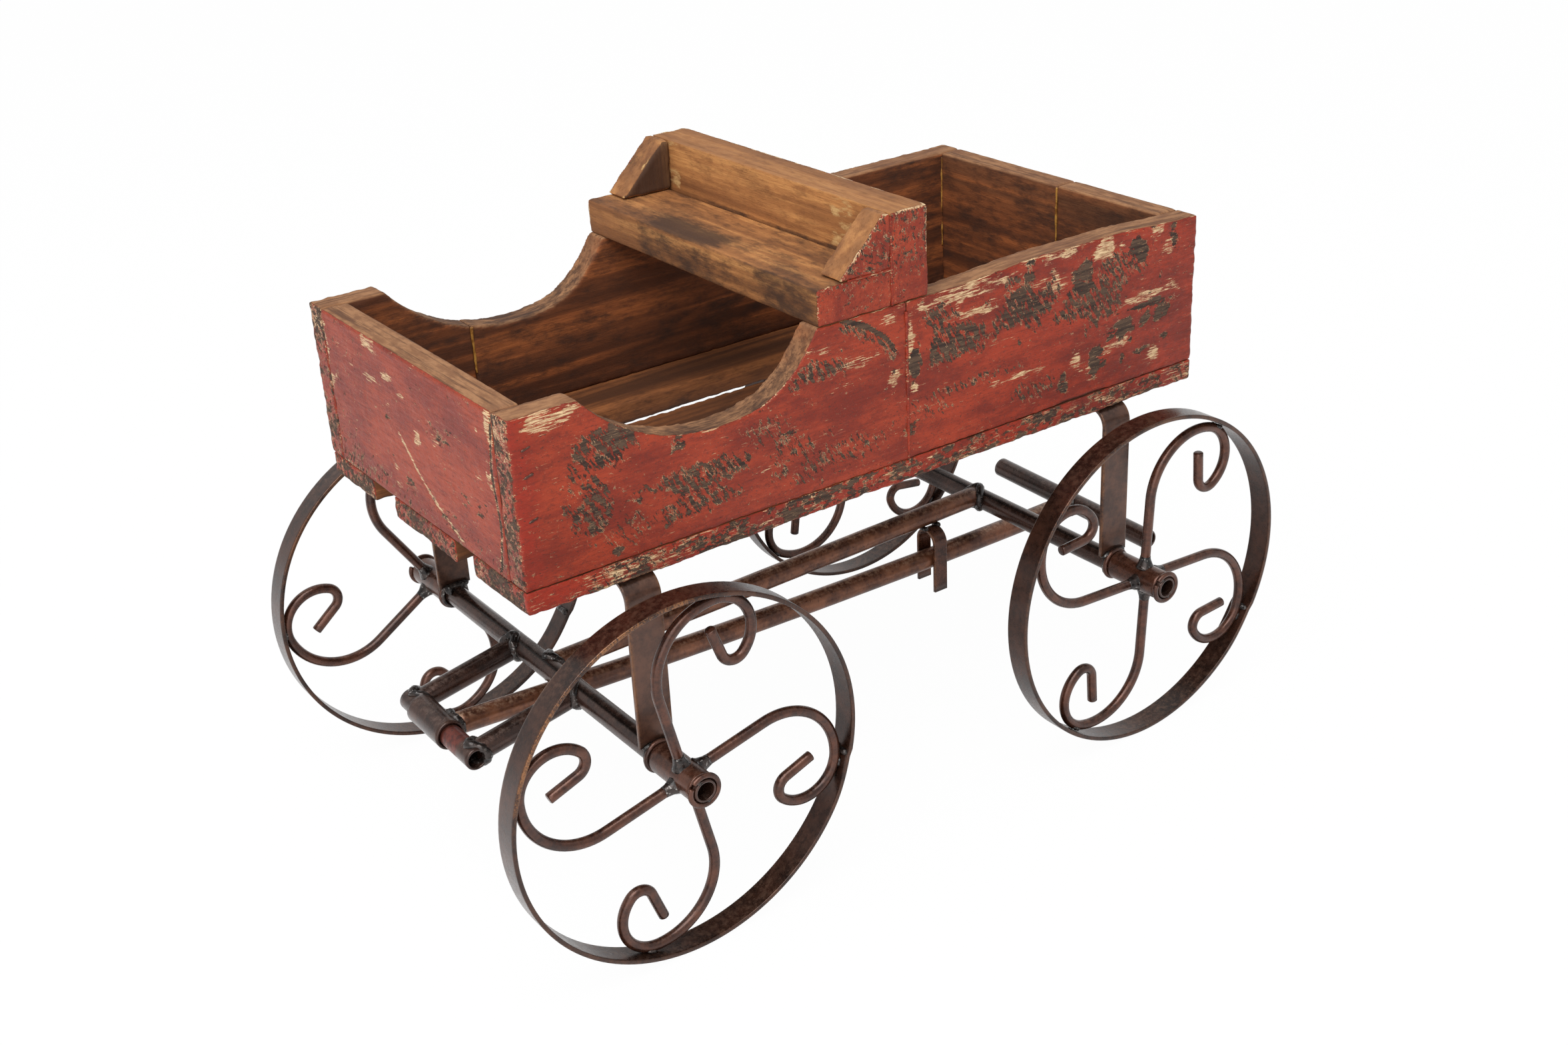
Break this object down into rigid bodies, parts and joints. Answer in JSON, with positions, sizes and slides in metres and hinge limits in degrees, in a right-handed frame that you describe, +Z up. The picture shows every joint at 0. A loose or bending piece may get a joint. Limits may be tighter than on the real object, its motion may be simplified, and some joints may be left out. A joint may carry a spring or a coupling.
{
  "type": "wooden buckboard garden wagon",
  "caption": "Small rustic buckboard wagon: red wooden box with a seat on a welded tube frame, iron wheels with scroll spokes, and a pull handle that folds back under the floor.",
  "frame": {"origin": "on the ground, midway between the axles and midway between the left and right wheels", "axes": "+X forward, towards the handle's pivot; +Y to the wagon's left; +Z up"},
  "size_m": [0.6572, 0.3936, 0.438],
  "materials": {
    "red_painted_wood": "matt barn-red paint, worn through to dark wood and cream primer",
    "seat_wood": "stained softwood, matt, with visible grain",
    "floor_wood": "rough dark stained softwood",
    "dark_iron": "dark brown lacquer over mild steel, rubbed and lightly rusted",
    "bare_rusty_iron": "bare steel with a red-brown rust film",
    "screw_steel": "dull zinc"
  },
  "bodies": {
    "frame": {"left_side_front": "red_painted_wood", "left_side_rear": "red_painted_wood", "right_side_front": "red_painted_wood", "right_side_rear": "red_painted_wood", "front_board": "red_painted_wood", "rear_board_left": "red_painted_wood", "rear_board_right": "red_painted_wood", "seat_ear_left": "red_painted_wood", "seat_ear_right": "red_painted_wood", "seat_plank": "seat_wood", "seat_back": "seat_wood", "floor_plank_left": "floor_wood", "floor_plank_middle": "floor_wood", "floor_plank_right": "floor_wood", "axle_front": "dark_iron", "axle_rear": "dark_iron", "strap_front": "dark_iron", "strap_rear": "dark_iron", "reach_tube": "dark_iron", "yoke_arm_left": "dark_iron", "yoke_arm_right": "dark_iron", "handle_clip": "dark_iron", "yoke_pin": "bare_rusty_iron", "strap_screw_front": "screw_steel", "strap_screw_rear": "screw_steel", "collar_front_left": "dark_iron", "retaining_ring_front_left": "dark_iron", "collar_front_right": "dark_iron", "retaining_ring_front_right": "dark_iron", "collar_rear_left": "dark_iron", "retaining_ring_rear_left": "dark_iron", "collar_rear_right": "dark_iron", "retaining_ring_rear_right": "dark_iron"},
    "handle": {"handle_sleeve": "dark_iron", "handle_tube": "dark_iron", "handle_grip": "dark_iron"},
    "wheel_front_left": {"rim_front_left": "dark_iron", "hub_front_left": "dark_iron", "spoke_front_left_1": "dark_iron", "spoke_front_left_2": "dark_iron", "spoke_front_left_3": "dark_iron", "spoke_front_left_4": "dark_iron"},
    "wheel_front_right": {"rim_front_right": "dark_iron", "hub_front_right": "dark_iron", "spoke_front_right_1": "dark_iron", "spoke_front_right_2": "dark_iron", "spoke_front_right_3": "dark_iron", "spoke_front_right_4": "dark_iron"},
    "wheel_rear_left": {"rim_rear_left": "dark_iron", "hub_rear_left": "dark_iron", "spoke_rear_left_1": "dark_iron", "spoke_rear_left_2": "dark_iron", "spoke_rear_left_3": "dark_iron", "spoke_rear_left_4": "dark_iron"},
    "wheel_rear_right": {"rim_rear_right": "dark_iron", "hub_rear_right": "dark_iron", "spoke_rear_right_1": "dark_iron", "spoke_rear_right_2": "dark_iron", "spoke_rear_right_3": "dark_iron", "spoke_rear_right_4": "dark_iron"}
  },
  "joints": [
    {"name": "wheel_front_left_spin", "type": "hinge", "parent": "frame", "child": "wheel_front_left", "pos_m": [0.2016, 0, 0.127], "axis": [0, 1, 0], "continuous": true},
    {"name": "wheel_front_right_spin", "type": "hinge", "parent": "frame", "child": "wheel_front_right", "pos_m": [0.2016, 0, 0.127], "axis": [0, 1, 0], "continuous": true},
    {"name": "wheel_rear_left_spin", "type": "hinge", "parent": "frame", "child": "wheel_rear_left", "pos_m": [-0.2016, 0, 0.127], "axis": [0, 1, 0], "continuous": true},
    {"name": "wheel_rear_right_spin", "type": "hinge", "parent": "frame", "child": "wheel_rear_right", "pos_m": [-0.2016, 0, 0.127], "axis": [0, 1, 0], "continuous": true},
    {"name": "handle_swing", "type": "hinge", "parent": "frame", "child": "handle", "pos_m": [0.285, 0, 0.1115], "axis": [0, -1, 0], "range_deg": [0, 260]}
  ]
}
